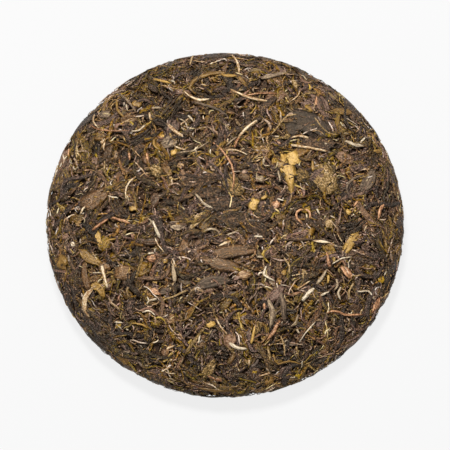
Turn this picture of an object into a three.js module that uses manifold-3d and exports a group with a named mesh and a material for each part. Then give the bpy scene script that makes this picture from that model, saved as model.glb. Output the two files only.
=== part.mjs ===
// A raw pu-erh tea cake: whole tea leaves steamed and pressed under a stone into one round cake.
// It lies on its back with the domed face up, as it would on a table.
// Millimetres, +Z up out of the domed face, +X and +Y across it, and the origin in the middle of
// the resting plane. The cake is one solid: a lumpy pressed body with the larger leaves, twists
// and stems of its surface fused on at their real size.
import * as THREE from "three";
import { SimplexNoise } from "three/addons/math/SimplexNoise.js";
import { mergeVertices } from "three/addons/utils/BufferGeometryUtils.js";
import Module from "manifold-3d";

// Driving dimensions of the cake.
const CAKE_DIAMETER = 200;
const CAKE_THICKNESS = 27;
const RIM_HEIGHT = 11; // where the rim stands out furthest, above the resting plane
const DIMPLE_DIAMETER = 54; // left in the back by the knot of the pressing cloth
const DIMPLE_DEPTH = 8;
const FACE_FULLNESS = 3; // a higher power keeps the dome flat further out
const BACK_FULLNESS = 9;

// The pressed surface.
const LEAF_PROUD = 1.6; // how far the fused leaves stand out of the pressed body
const LUMP_HEIGHT = 0.45;
const LUMP_SPAN = 13;
const CORNER_DRIFT = 2.4; // how far the body's corners stray along the surface
const REST_TRIM = 0.35; // what resting has flattened off the leaves of the back
const BODY_RINGS = 24;
const BODY_SPOKES = 36;

// The kinds of leaf on the surface, at their real sizes, and how many of each lie on the face,
// the rim and the back.
const TWIST = {
  make: twistGeometry,
  length: [11, 28],
  width: [4.4, 7],
  thickness: 3,
  count: { face: 62, rim: 24, back: 24 },
};
const STEM = {
  make: stemGeometry,
  length: [14, 27],
  width: [3, 3.8],
  thickness: 2.6,
  count: { face: 11, rim: 3, back: 4 },
};
const FLAKE = {
  make: flakeGeometry,
  length: [9, 19],
  width: [5, 11],
  thickness: 2.4,
  count: { face: 15, rim: 3, back: 7 },
};
const SEED = 357;

// The shapes of single leaves. A pair of numbers is the least and the most of a random choice.
const LONG_TWIST = 17; // a longer one bends in one more place
const TWIST_WINDING = [0.5, 1.1]; // turns that the crest winds through
const TWIST_SWAY = 0.33; // how far the crest strays from the middle, as a share of the width
const TWIST_TAPER = 0.62; // the share of the width that is gone at the tips
const TWIST_TAPER_POWER = 2.4;
const STEM_TAPER = 0.25;
const FLAKE_SEGMENTS = 4;
const FLAKE_TIP = 0.28; // the share of the width that is left at the tips
const FLAKE_BULGE = 0.8; // below 1, the widest place lies nearer one end
const FLAKE_SWAY = 0.06; // sideways, as a share of the length
const FLAKE_WAVE = [0.15, 0.4];
const FLAKE_WAVE_TURNS = 1.5;
const LEAF_SUNK = [0.02, 0.45]; // the share of LEAF_PROUD by which a leaf is pressed in
const LEAF_CURL = [-0.9, 0.9]; // radians
const RIM_STRAY = [-0.35, 0.35]; // radians off the rim's own direction
const SPREAD_STRAY = [-0.2, 0.2]; // radians off an even spread

// The back rests on three broad leaves, pressed flat.
const REST_LEAVES = 3;
const REST_LEAF_RADIUS = 68;
const REST_LEAF_LENGTH = 22;
const REST_LEAF_WIDTH = 15;
const REST_LEAF_THICKNESS = 4;

const BODY_RADIUS = CAKE_DIAMETER / 2 - LEAF_PROUD;
const DOME_RISE = CAKE_THICKNESS - LEAF_PROUD - RIM_HEIGHT;
const BACK_DROP = RIM_HEIGHT - LEAF_PROUD;
const PROFILE_STEPS = 96;
const RIM_START = 0.93; // the rim zone begins at this share of the radius
const TURN = Math.PI * 2;
const GOLDEN_ANGLE = Math.PI * (3 - Math.sqrt(5));
const LAYER_GAP = 40; // between two layers of the same noise
const SAME_CORNER = 1e-4;

function seededRandom(seed) {
  let state = seed;
  return () => {
    state = (state + 0x6d2b79f5) | 0;
    let mixed = Math.imul(state ^ (state >>> 15), 1 | state);
    mixed = (mixed + Math.imul(mixed ^ (mixed >>> 7), 61 | mixed)) ^ mixed;
    return ((mixed ^ (mixed >>> 14)) >>> 0) / 4294967296;
  };
}

const random = seededRandom(SEED);
const noise = new SimplexNoise({ random });
const between = ([low, high]) => low + (high - low) * random();

// One point of the cake's section. The angle runs from 0 at the middle of the face, over the rim
// at a quarter turn, to a half turn at the middle of the back.
function sectionPoint(angle) {
  const reach = Math.sin(angle);
  const radius = BODY_RADIUS * reach;
  if (angle < Math.PI / 2) {
    return { radius, height: RIM_HEIGHT + DOME_RISE * Math.sqrt(1 - reach ** FACE_FULLNESS) };
  }
  const inDimple = Math.min(1, radius / (DIMPLE_DIAMETER / 2));
  const dimple = DIMPLE_DEPTH * (0.5 + 0.5 * Math.cos(Math.PI * inDimple));
  return { radius, height: RIM_HEIGHT - BACK_DROP * Math.sqrt(1 - reach ** BACK_FULLNESS) + dimple };
}

// The section as a row of points, each with the surface's area from the middle of the face to it.
const section = [];
let area = 0;
for (let step = 0; step <= PROFILE_STEPS; step++) {
  const point = sectionPoint((Math.PI * step) / PROFILE_STEPS);
  const before = section.at(-1) ?? point;
  const slant = Math.hypot(point.radius - before.radius, point.height - before.height);
  area += slant * Math.PI * (point.radius + before.radius);
  section.push({ ...point, area });
}

// A place on the cake's smooth surface, from a place along the section (in steps) and an azimuth.
function surfaceAt(place, azimuth) {
  const step = Math.min(PROFILE_STEPS - 1, Math.floor(place));
  const along = place - step;
  const here = section[step];
  const next = section[step + 1];
  const radius = here.radius + (next.radius - here.radius) * along;
  const height = here.height + (next.height - here.height) * along;
  const outward = new THREE.Vector3(Math.cos(azimuth), Math.sin(azimuth), 0);
  const downhill = outward.clone().multiplyScalar(next.radius - here.radius);
  downhill.z = next.height - here.height;
  const around = new THREE.Vector3(-outward.y, outward.x, 0);
  return {
    position: outward.clone().multiplyScalar(radius).setZ(height),
    normal: new THREE.Vector3().crossVectors(downhill, around).normalize(),
  };
}

// The place on the smooth surface that is nearest to a point.
function surfaceNear(point) {
  const radius = Math.hypot(point.x, point.y);
  let best = 0;
  let bestGap = Infinity;
  for (let step = 0; step < PROFILE_STEPS; step++) {
    const here = section[step];
    const next = section[step + 1];
    const run = next.radius - here.radius;
    const rise = next.height - here.height;
    const raw = ((radius - here.radius) * run + (point.z - here.height) * rise) / (run ** 2 + rise ** 2);
    const along = THREE.MathUtils.clamp(raw, 0, 1);
    const gap = Math.hypot(radius - here.radius - run * along, point.z - here.height - rise * along);
    if (gap < bestGap) {
      bestGap = gap;
      best = step + along;
    }
  }
  return surfaceAt(best, Math.atan2(point.y, point.x));
}

function placeAtArea(share) {
  const wanted = share * area;
  const step = section.findIndex((point) => point.area >= wanted);
  if (step <= 0) return 0;
  const before = section[step - 1].area;
  return step - 1 + (wanted - before) / (section[step].area - before);
}

// Smooth noise between -1 and 1, in layers that don't repeat each other.
function lumpAt(point, layer) {
  return noise.noise3d(point.x / LUMP_SPAN, point.y / LUMP_SPAN, point.z / LUMP_SPAN + LAYER_GAP * layer);
}

const wasm = await Module();
wasm.setup();

function solidFrom(geometry) {
  geometry.deleteAttribute("normal");
  geometry.deleteAttribute("uv");
  const merged = mergeVertices(geometry, SAME_CORNER);
  const corners = merged.index.array;
  const kept = [];
  for (let i = 0; i < corners.length; i += 3) {
    const [a, b, c] = corners.slice(i, i + 3);
    if (a !== b && b !== c && c !== a) kept.push(a, b, c);
  }
  return new wasm.Manifold(
    new wasm.Mesh({
      numProp: 3,
      vertProperties: new Float32Array(merged.attributes.position.array),
      triVerts: new Uint32Array(kept),
    }),
  );
}

function geometryFrom(solid) {
  const mesh = solid.getMesh();
  const geometry = new THREE.BufferGeometry();
  geometry.setAttribute("position", new THREE.BufferAttribute(mesh.vertProperties, 3));
  geometry.setIndex(new THREE.BufferAttribute(mesh.triVerts, 1));
  return geometry;
}

// The pressed body: the section turned about the cake's axis, then raised and sunk in soft lumps
// that also shift its corners sideways, so that no ring or spoke runs straight.
function pressedBody() {
  const points = [];
  for (let ring = BODY_RINGS; ring >= 0; ring--) {
    const { radius, height } = section[(ring * PROFILE_STEPS) / BODY_RINGS];
    points.push(new THREE.Vector2(ring % BODY_RINGS === 0 ? 0 : radius, height));
  }
  const geometry = new THREE.LatheGeometry(points, BODY_SPOKES).rotateX(Math.PI / 2);
  return solidFrom(shapeCorners(geometry, (point) => {
    const drift = new THREE.Vector3(lumpAt(point, 1), lumpAt(point, 2), 0);
    const { normal } = surfaceNear(point);
    const shifted = surfaceNear(drift.multiplyScalar(CORNER_DRIFT).add(point));
    point.copy(shifted.position).addScaledVector(normal, LUMP_HEIGHT * lumpAt(point, 3));
  }));
}

// Bends a straight geometry, which lies along Y with its thickness along Z, onto the surface. It
// starts at a place and follows the surface in a slowly turning direction.
function layOnSurface(geometry, { start, heading, curl, length, lift }) {
  const steps = geometry.userData.segments;
  const trail = [];
  let { position, normal } = start;
  const around = new THREE.Vector3(0, 0, 1).cross(position).normalize();
  const ahead = around.applyAxisAngle(normal, heading);
  for (let step = 0; step <= steps; step++) {
    ahead.addScaledVector(normal, -ahead.dot(normal)).normalize();
    trail.push({ position, normal, side: new THREE.Vector3().crossVectors(ahead, normal) });
    const next = position.clone().addScaledVector(ahead, length / steps);
    ({ position, normal } = surfaceNear(next));
    ahead.applyAxisAngle(normal, curl / steps);
  }
  const corners = geometry.attributes.position;
  for (let i = 0; i < corners.count; i++) {
    const spot = trail[Math.round((corners.getY(i) / length + 0.5) * steps)];
    const point = spot.position.clone();
    point.addScaledVector(spot.side, corners.getX(i));
    point.addScaledVector(spot.normal, corners.getZ(i) + lift);
    corners.setXYZ(i, point.x, point.y, point.z);
  }
  return solidFrom(geometry);
}

function shapeCorners(geometry, change) {
  const corners = geometry.attributes.position;
  const point = new THREE.Vector3();
  for (let i = 0; i < corners.count; i++) {
    point.fromBufferAttribute(corners, i);
    change(point);
    corners.setXYZ(i, point.x, point.y, point.z);
  }
  return geometry;
}

// A three-sided bar along Y: its crest is up and its flat side is buried in the body.
function ridgedBar(length, width, thickness, segments) {
  const geometry = new THREE.CylinderGeometry(1, 1, length, 3, segments);
  geometry.userData.segments = segments;
  return shapeCorners(geometry, (point) => {
    point.x *= width / Math.sqrt(3);
    point.z = point.z > 0 ? thickness / 2 : -thickness / 2;
  });
}

// A whole leaf rolled tight: it tapers to both ends, and its crest winds from side to side.
function twistGeometry(length, width, thickness) {
  const phase = between([0, TURN]);
  const winding = between(TWIST_WINDING) * TURN;
  const segments = length > LONG_TWIST ? 3 : 2;
  return shapeCorners(ridgedBar(length, width, thickness, segments), (point) => {
    const along = point.y / length;
    point.x *= 1 - TWIST_TAPER * Math.abs(2 * along) ** TWIST_TAPER_POWER;
    if (point.z > 0) point.x = TWIST_SWAY * width * Math.sin(winding * along + phase);
  });
}

// A bare stem: straight, thin and hardly tapered.
function stemGeometry(length, width, thickness) {
  return shapeCorners(ridgedBar(length, width, thickness, 2), (point) => {
    point.x *= 1 - STEM_TAPER * (point.y / length + 0.5);
  });
}

// An open leaf pressed flat: a thin wavy plate with a leaf's outline.
function flakeGeometry(length, width, thickness) {
  const wave = between(FLAKE_WAVE);
  const phase = between([0, TURN]);
  const geometry = new THREE.BoxGeometry(width, length, thickness, 1, FLAKE_SEGMENTS, 1);
  geometry.userData.segments = FLAKE_SEGMENTS;
  return shapeCorners(geometry, (point) => {
    const along = Math.max(0, point.y / length + 0.5);
    const outline = FLAKE_TIP + (1 - FLAKE_TIP) * Math.sin(Math.PI * along ** FLAKE_BULGE);
    point.x = point.x * outline + FLAKE_SWAY * length * Math.sin(TURN * along + phase);
    point.z += wave * Math.sin(FLAKE_WAVE_TURNS * TURN * along + phase);
  });
}

// Where the face ends and the back begins, as shares of the surface's area.
const FACE_END = section.find((point) => point.radius > RIM_START * BODY_RADIUS).area / area;
const BACK_START = section.findLast((point) => point.radius > RIM_START * BODY_RADIUS).area / area;

// On the face and the back the leaves point every way. On the rim the cloth has drawn them
// round the edge.
const anyWay = () => between([0, TURN]);
const alongRim = () => between(RIM_STRAY) + (random() < 0.5 ? Math.PI : 0);
const ZONES = [
  { name: "face", shares: [0, FACE_END], heading: anyWay },
  { name: "rim", shares: [FACE_END, BACK_START], heading: alongRim },
  { name: "back", shares: [BACK_START, 1], heading: anyWay },
];

function shuffled(list) {
  const keyed = list.map((item) => ({ item, key: random() }));
  return keyed.sort((a, b) => a.key - b.key).map(({ item }) => item);
}

// Spreads a zone's leaves evenly: each next one lies a golden angle further round the cake and
// one equal share of the area further out, with the kinds in a random order.
function leavesOf({ name, shares: [from, to], heading }) {
  const kinds = shuffled([TWIST, STEM, FLAKE].flatMap((kind) => Array(kind.count[name]).fill(kind)));
  return kinds.map((kind, index) => {
    const length = between(kind.length);
    const sunk = LEAF_PROUD * between(LEAF_SUNK);
    const share = from + ((to - from) * (index + 0.5)) / kinds.length;
    return layOnSurface(kind.make(length, between(kind.width), kind.thickness), {
      start: surfaceAt(placeAtArea(share), GOLDEN_ANGLE * index + between(SPREAD_STRAY)),
      heading: heading(),
      curl: between(LEAF_CURL),
      length,
      lift: LEAF_PROUD - sunk - kind.thickness / 2,
    });
  });
}

function restLeaf(index) {
  const geometry = flakeGeometry(REST_LEAF_LENGTH, REST_LEAF_WIDTH, REST_LEAF_THICKNESS);
  const azimuth = -Math.PI / 2 + (TURN * index) / REST_LEAVES;
  const point = new THREE.Vector3(Math.cos(azimuth), Math.sin(azimuth), 0).multiplyScalar(REST_LEAF_RADIUS);
  return layOnSurface(geometry, {
    start: surfaceNear(point),
    heading: Math.PI / 2,
    curl: 0,
    length: REST_LEAF_LENGTH,
    lift: LEAF_PROUD + REST_TRIM - REST_LEAF_THICKNESS / 2,
  });
}

function largestBody(solid) {
  return solid.decompose().sort((a, b) => b.volume() - a.volume())[0];
}

// The cake's own weight presses its lowest leaves flat.
function pressFlat(solid) {
  const block = new THREE.BoxGeometry(2 * CAKE_DIAMETER, 2 * CAKE_DIAMETER, CAKE_THICKNESS);
  block.translate(0, 0, REST_TRIM - CAKE_THICKNESS / 2);
  return solid.subtract(solidFrom(block));
}

// Brings the cake to its exact diameter and thickness, standing on the origin's plane.
function toExactSize(geometry) {
  geometry.computeBoundingBox();
  const size = geometry.boundingBox.getSize(new THREE.Vector3());
  const centre = geometry.boundingBox.getCenter(new THREE.Vector3());
  geometry.translate(-centre.x, -centre.y, -geometry.boundingBox.min.z);
  geometry.scale(CAKE_DIAMETER / size.x, CAKE_DIAMETER / size.y, CAKE_THICKNESS / size.z);
  return geometry;
}

function teaCake() {
  const leaves = ZONES.flatMap(leavesOf);
  for (let i = 0; i < REST_LEAVES; i++) leaves.push(restLeaf(i));
  const fused = leaves.reduce((whole, leaf) => whole.add(leaf), pressedBody());
  return toExactSize(geometryFrom(largestBody(pressFlat(fused))));
}

const leafBrown = new THREE.MeshStandardMaterial({ color: 0x5a4a3a, roughness: 0.78, metalness: 0 });
const cake = new THREE.Mesh(teaCake(), leafBrown);
cake.name = "tea_cake";

const group = new THREE.Group();
group.add(cake);
export default group;
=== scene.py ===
# A pressed cake of raw pu-erh tea with its separate leaves, twists, stems and crumbs.
# Each kind of leaf is modelled a few times, and copies of it are bent onto the cake and joined.
# Sizes are in millimetres until a mesh is made.
import math

import bmesh
import bpy
import numpy as np
from mathutils import Matrix, Vector, noise


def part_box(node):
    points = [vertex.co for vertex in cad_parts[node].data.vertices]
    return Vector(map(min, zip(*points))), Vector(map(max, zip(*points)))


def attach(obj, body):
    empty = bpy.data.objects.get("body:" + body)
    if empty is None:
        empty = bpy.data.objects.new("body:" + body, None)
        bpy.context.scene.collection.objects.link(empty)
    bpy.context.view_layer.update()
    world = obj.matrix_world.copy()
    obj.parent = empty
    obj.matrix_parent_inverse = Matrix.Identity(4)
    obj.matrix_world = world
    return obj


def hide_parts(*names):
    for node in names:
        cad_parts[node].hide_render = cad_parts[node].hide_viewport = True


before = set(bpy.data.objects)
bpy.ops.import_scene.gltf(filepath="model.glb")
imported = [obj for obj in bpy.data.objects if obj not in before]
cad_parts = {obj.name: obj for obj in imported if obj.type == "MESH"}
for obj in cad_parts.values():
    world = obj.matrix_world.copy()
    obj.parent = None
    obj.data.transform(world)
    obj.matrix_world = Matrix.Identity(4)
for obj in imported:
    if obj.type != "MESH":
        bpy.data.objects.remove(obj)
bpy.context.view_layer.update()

MM = 0.001
TURN = 2 * math.pi

# The cake, from the frame and from the same named values as its solid.
cake_low, cake_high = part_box("tea_cake")
CAKE_DIAMETER = (cake_high.x - cake_low.x) / MM
CAKE_THICKNESS = (cake_high.z - cake_low.z) / MM
RIM_HEIGHT = 11
DIMPLE_DIAMETER = 54
DIMPLE_DEPTH = 8
FACE_FULLNESS = 3
BACK_FULLNESS = 9
LEAF_PROUD = 1.6
BODY_RADIUS = CAKE_DIAMETER / 2 - LEAF_PROUD
FLOOR_GAP = 0.05

# The crumb bed, below the smooth section.
BED_DEPTH = 1.5
RIM_BED_DEPTH = 0.2
BED_RIM_START = 0.9
BED_RIM_FADE = 0.08
BED_FLOOR_GAP = 0.2

# How the mould has pressed the leaves: the level that they are pressed towards, how much of their
# relief is left in the middle and is lost at the rim, and how far loose leaves stand out between them.
PRESSED_LEVEL = 0.6
PRESSED_EDGE = 0.3
LOOSE_ROOM = 0.7
LOOSE_FROM = 0.6
MIDDLE_RELIEF = 0.4
MIDDLE_REACH = 14
MIDDLE_FADE = 22
RIM_RELIEF_LOSS = 0.5
RIM_LEVEL_GAIN = 0.4
RIM_START = 0.82
RIM_FADE = 0.12

# Where pale leaves thin out, and where the press has made all of them more alike; leaves in the middle are
# also made a little lighter.
THIN_REACH = 26
ALIKE_REACH = 45
ALIKE_FADE = 15
ALIKE_SHARE = 0.4
MIDDLE_LIGHTENING = 0.12
MIDDLE_CHILL = 0.2

# Leaves are painted a little darker towards the rim: partly painted shade where the dome turns away from the
# light, partly the rim's own darker leaves.
SHADE_START = 0.65
RIM_SHADE = 0.1

# How high the listed leaves lie, and how thick they are.
PATCH_LIFT = 1.5
BLADE_LIFT = 1.6
STRAND_LIFT = 1.7
BUNDLE_LIFT = 1.5
BROAD_THICKNESS = 0.6
STRAND_ROUNDNESS = 0.8
STRAND_THICKNESS = (0.8, 1.6)

# Bundles of leaves share a heading, and neighbouring leaves share a mood: the span of both, the layer of
# the noise that they come from, and how far they turn, tone and light the leaves.
FLOW_SPAN = 30
FLOW_TURN = 5
FACE_FLOW_LAYER = 7.7
BACK_FLOW_LAYER = 3.3
RIM_PULL = 1.8
PULL_START = 0.86
PULL_FADE = 0.12
MOOD_SPAN = 14
MOOD_LAYER = 11.3
MOOD_TONE = 0.4
MOOD_LIGHT = 0.2

# The photograph's frame and how it looks down on the cake.
PHOTO_SIZE = 450
CAKE_WIDTH_IN_PHOTO = 360.5
VIEW_ELEVATION = math.radians(74)
VIEW_DISTANCE = 1400
VIEW_AIM = -2.4
SENSOR = 36
MM_PER_PIXEL = CAKE_DIAMETER / CAKE_WIDTH_IN_PHOTO


# The cake's section

SECTION_STEPS = 480
FACE_PART = slice(0, SECTION_STEPS // 2 + 1)


def section_line(steps=SECTION_STEPS):
    """The smooth section from the middle of the face, over the rim, to the middle of the back."""
    angle = np.linspace(0, math.pi, steps + 1)
    reach = np.sin(angle)
    radius = BODY_RADIUS * reach
    dome = CAKE_THICKNESS - LEAF_PROUD - RIM_HEIGHT
    drop = RIM_HEIGHT - LEAF_PROUD
    in_dimple = np.minimum(1, radius / (DIMPLE_DIAMETER / 2))
    dimple = DIMPLE_DEPTH * (0.5 + 0.5 * np.cos(math.pi * in_dimple))
    face = RIM_HEIGHT + dome * np.sqrt(1 - reach ** FACE_FULLNESS)
    back = RIM_HEIGHT - drop * np.sqrt(1 - reach ** BACK_FULLNESS) + dimple
    return radius, np.where(angle < math.pi / 2, face, back)


section_radius, section_height = section_line()
section_along = np.concatenate([[0], np.cumsum(np.hypot(np.diff(section_radius), np.diff(section_height)))])
section_slope = np.arctan2(np.gradient(section_height), np.gradient(section_radius))
section_slope = np.unwrap(section_slope)
section_area = np.concatenate([[0], np.cumsum(
    np.diff(section_along) * (section_radius[1:] + section_radius[:-1]) / 2)])
RIM_ALONG = section_along[np.argmax(section_radius)]
WHOLE_ALONG = section_along[-1]


def on_cake(plan, height, back):
    """Wraps points of a flat plan, measured from the middle of the face or the back, onto the cake."""
    reach = np.hypot(plan[..., 0], plan[..., 1])
    along = np.where(back, WHOLE_ALONG - reach, reach)
    azimuth = np.arctan2(plan[..., 1], np.where(back, -plan[..., 0], plan[..., 0]))
    slope = np.interp(along, section_along, section_slope)
    radius = np.interp(along, section_along, section_radius) - np.sin(slope) * height
    level = np.interp(along, section_along, section_height) + np.cos(slope) * height
    level = np.maximum(level, FLOOR_GAP)
    return np.stack([radius * np.cos(azimuth), radius * np.sin(azimuth), level], axis=-1)


# The camera comes first, because the leaves that the photograph shows are placed through it.

view_target = Vector((0, VIEW_AIM, CAKE_THICKNESS / 2))
view_back = Vector((0, -math.cos(VIEW_ELEVATION), math.sin(VIEW_ELEVATION)))
view_eye = view_target + VIEW_DISTANCE * view_back
view_lens = SENSOR * VIEW_DISTANCE * CAKE_WIDTH_IN_PHOTO / (PHOTO_SIZE * CAKE_DIAMETER)


def make_camera():
    data = bpy.data.cameras.new("camera")
    data.lens = view_lens
    data.sensor_width = SENSOR
    data.clip_end = 20
    camera = bpy.data.objects.new("camera", data)
    camera.location = view_eye * MM
    camera.rotation_euler = view_back.to_track_quat("Z", "Y").to_euler()
    bpy.context.scene.collection.objects.link(camera)
    bpy.context.scene.camera = camera


def photo_to_plan(x, y):
    """The place on the face's flat plan that the photograph shows at a pixel."""
    right = Vector((1, 0, 0))
    up = view_back.cross(right)
    scale = SENSOR / (PHOTO_SIZE * view_lens)
    ray = right * (x - PHOTO_SIZE / 2) * scale - up * (y - PHOTO_SIZE / 2) * scale - view_back
    level = CAKE_THICKNESS
    for _ in range(6):
        spot = view_eye + ray * ((level - view_eye.z) / ray.z)
        radius = min(math.hypot(spot.x, spot.y), BODY_RADIUS)
        along = np.interp(radius, section_radius[FACE_PART], section_along[FACE_PART])
        level = np.interp(along, section_along, section_height) + LEAF_PROUD / 2
    azimuth = math.atan2(spot.y, spot.x)
    return along * math.cos(azimuth), along * math.sin(azimuth)


# Materials

def linear(colour):
    """A #rrggbb colour as linear light."""
    parts = [int(colour[i:i + 2], 16) / 255 for i in (1, 3, 5)]
    return [p / 12.92 if p <= 0.04045 else ((p + 0.055) / 1.055) ** 2.4 for p in parts] + [1]


def add_node(tree, kind, settings=None, inputs=None, stops=()):
    """Adds a node. An input takes a value, or another node's output as a link. Stops fill its colour ramp."""
    node = tree.nodes.new(kind)
    for name, value in (settings or {}).items():
        setattr(node, name, value)
    for name, value in (inputs or {}).items():
        if isinstance(value, bpy.types.NodeSocket):
            tree.links.new(value, node.inputs[name])
        else:
            node.inputs[name].default_value = value
    if stops:
        elements = node.color_ramp.elements
        elements.remove(elements[1])
        for place, _ in stops[1:]:
            elements.new(place)
        for element, (place, colour) in zip(elements, stops):
            element.position = place
            element.color = linear(colour)
    return node


def new_material(name, roughness, **shader):
    material = bpy.data.materials.new(name)
    material.use_nodes = True
    surface = material.node_tree.nodes["Principled BSDF"]
    surface.inputs["Roughness"].default_value = roughness
    for socket, value in shader.items():
        surface.inputs[socket.replace("_", " ")].default_value = value
    return material, material.node_tree, surface


# What all leaf materials share, in millimetres and in shares of a noise's range.
GRAIN_STRETCH = 10
BLOTCH_SIZE = 1.0
WORN_SIZE = 1.7
FIBRE_BAND = (0.42, 0.58)
BLOTCH_BAND = (0.44, 0.56)
WORN_BAND = (0.57, 0.61)
WORN_STRENGTH = 0.8
# How sharp the painted golden edge highlight is, on which leaves it shows, and the gold that it shares with
# worn spots.
EDGE_SHARPNESS = 5.0
GOLDEN_WARMTH = (-0.1, 0.8)
WEAR_AND_EDGE_HIGHLIGHT_GOLD = "#927a49"
MIDDLE_HUE = 0.492
HUE_BY_WARMTH = 0.02
SATURATION_BY_WARMTH = 0.3
BLOTCH_RELIEF = 1.5


def leaf_material(name, stops, roughness=0.36, fibre=0.8, depth=0.7, streaks=0.2, blotches=0.3, golden=0.8):
    """Dry tea leaf: fibres along it, partly painted shade in their grooves, blotches, a painted golden
    highlight on its edges, golden worn spots, and its own tone and warmth.
    """
    material, tree, surface = new_material(
        name, roughness, Specular_IOR_Level=0.55, Specular_Tint=linear("#ffecd0"), IOR=1.45)
    tone = add_node(tree, "ShaderNodeAttribute", {"attribute_name": "tone"}).outputs["Fac"]
    light = add_node(tree, "ShaderNodeAttribute", {"attribute_name": "light"}).outputs["Fac"]
    warmth = add_node(tree, "ShaderNodeAttribute", {"attribute_name": "warmth"}).outputs["Fac"]
    edge = add_node(tree, "ShaderNodeAttribute", {"attribute_name": "edge"}).outputs["Fac"]
    grain = add_node(tree, "ShaderNodeUVMap", {"uv_map": "grain"}).outputs["UV"]
    place = add_node(tree, "ShaderNodeTexCoord").outputs["Object"]

    # The map runs in millimetres, across in U and along in V: fibres are long and narrow.
    along_grain = add_node(tree, "ShaderNodeMapping", {}, {
        "Vector": grain, "Scale": (1 / fibre, 1 / (GRAIN_STRETCH * fibre), 1)}).outputs["Vector"]
    fibres = add_node(tree, "ShaderNodeTexNoise", {}, {
        "Vector": along_grain, "Scale": 1.0, "Detail": 2.0, "Roughness": 0.6}).outputs["Fac"]
    blotch = add_node(tree, "ShaderNodeTexNoise", {}, {
        "Vector": place, "Scale": 1 / (BLOTCH_SIZE * MM), "Detail": 2.0, "Roughness": 0.7}).outputs["Fac"]
    wear = add_node(tree, "ShaderNodeTexNoise", {}, {
        "Vector": place, "Scale": 1 / (WORN_SIZE * MM), "Detail": 3.0, "Roughness": 0.75,
        "Distortion": 1.0}).outputs["Fac"]

    # Each leaf takes its colour from its own tone, moved along the colours by its fibres and blotches. The
    # fibres also raise the bump, so their colour is partly grain and partly painted shade: lighter on the
    # raised ridges and darker in the grooves.
    fibre_grain_and_shade = add_node(tree, "ShaderNodeMapRange", {}, {
        "Value": fibres, "From Min": FIBRE_BAND[0], "From Max": FIBRE_BAND[1],
        "To Min": -streaks, "To Max": streaks}).outputs["Result"]
    by_blotch = add_node(tree, "ShaderNodeMapRange", {}, {
        "Value": blotch, "From Min": BLOTCH_BAND[0], "From Max": BLOTCH_BAND[1],
        "To Min": -blotches, "To Max": blotches}).outputs["Result"]
    moved = add_node(tree, "ShaderNodeMath", {"operation": "ADD"}, {
        0: fibre_grain_and_shade, 1: by_blotch}).outputs["Value"]
    pick = add_node(tree, "ShaderNodeMath", {"operation": "ADD"}, {0: tone, 1: moved}).outputs["Value"]
    colour = add_node(tree, "ShaderNodeValToRGB", {}, {"Fac": pick}, stops).outputs["Color"]

    # Warm leaves get a painted golden highlight along their edges and midribs, and are golden where they are
    # worn.
    edge_highlight = add_node(tree, "ShaderNodeMath", {"operation": "POWER"}, {
        0: edge, 1: EDGE_SHARPNESS}).outputs["Value"]
    how_golden = add_node(tree, "ShaderNodeMapRange", {}, {
        "Value": warmth, "From Min": GOLDEN_WARMTH[0], "From Max": GOLDEN_WARMTH[1],
        "To Min": 0.0, "To Max": golden}).outputs["Result"]
    worn_spot = add_node(tree, "ShaderNodeMapRange", {}, {
        "Value": wear, "From Min": WORN_BAND[0], "From Max": WORN_BAND[1],
        "To Min": 0.0, "To Max": WORN_STRENGTH}).outputs["Result"]
    # The painted edge highlight and the worn spots, whichever is stronger.
    thin = add_node(tree, "ShaderNodeMath", {"operation": "MAXIMUM"}, {
        0: edge_highlight, 1: worn_spot}).outputs["Value"]
    golden_wear_and_highlight = add_node(tree, "ShaderNodeMath", {"operation": "MULTIPLY"}, {
        0: thin, 1: how_golden}).outputs["Value"]
    edged = add_node(tree, "ShaderNodeMixRGB", {}, {
        "Fac": golden_wear_and_highlight, "Color1": colour, "Color2": linear(WEAR_AND_EDGE_HIGHLIGHT_GOLD)}).outputs["Color"]
    hue = add_node(tree, "ShaderNodeMath", {"operation": "MULTIPLY_ADD"}, {
        0: warmth, 1: HUE_BY_WARMTH, 2: MIDDLE_HUE}).outputs["Value"]
    strength = add_node(tree, "ShaderNodeMath", {"operation": "MULTIPLY_ADD"}, {
        0: warmth, 1: SATURATION_BY_WARMTH, 2: 1.0}).outputs["Value"]
    tinted = add_node(tree, "ShaderNodeHueSaturation", {}, {
        "Color": edged, "Hue": hue, "Saturation": strength}).outputs["Color"]
    shaded = add_node(tree, "ShaderNodeVectorMath", {"operation": "SCALE"}, {
        0: tinted, "Scale": light}).outputs["Vector"]
    tree.links.new(shaded, surface.inputs["Base Color"])

    crumple = add_node(tree, "ShaderNodeMath", {"operation": "MULTIPLY_ADD"}, {
        0: blotch, 1: BLOTCH_RELIEF, 2: fibres}).outputs["Value"]
    bump = add_node(tree, "ShaderNodeBump", {}, {
        "Height": crumple, "Distance": depth * MM, "Strength": 1.0}).outputs["Normal"]
    tree.links.new(bump, surface.inputs["Normal"])
    return material


# Leaf models: each is one unit long (Y), wide (X) and thick (Z)

# How strongly a rolled leaf's second edge and an open leaf's midrib take the painted golden highlight.
SECOND_EDGE = 0.7
MIDRIB_EDGE = 0.8


def rounded_bar(sides, rings):
    """A closed bar along Y with an even number of cuts across it."""
    shape = bmesh.new()
    bmesh.ops.create_cone(shape, cap_ends=True, segments=sides, radius1=0.5, radius2=0.5, depth=1)
    bmesh.ops.rotate(shape, verts=shape.verts, cent=(0, 0, 0), matrix=Matrix.Rotation(math.pi / 2, 3, "X"))
    for ring in range(1, rings):
        bmesh.ops.bisect_plane(
            shape, geom=shape.verts[:] + shape.edges[:] + shape.faces[:],
            plane_co=(0, ring / rings - 0.5, 0), plane_no=(0, 1, 0))
    return shape


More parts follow.
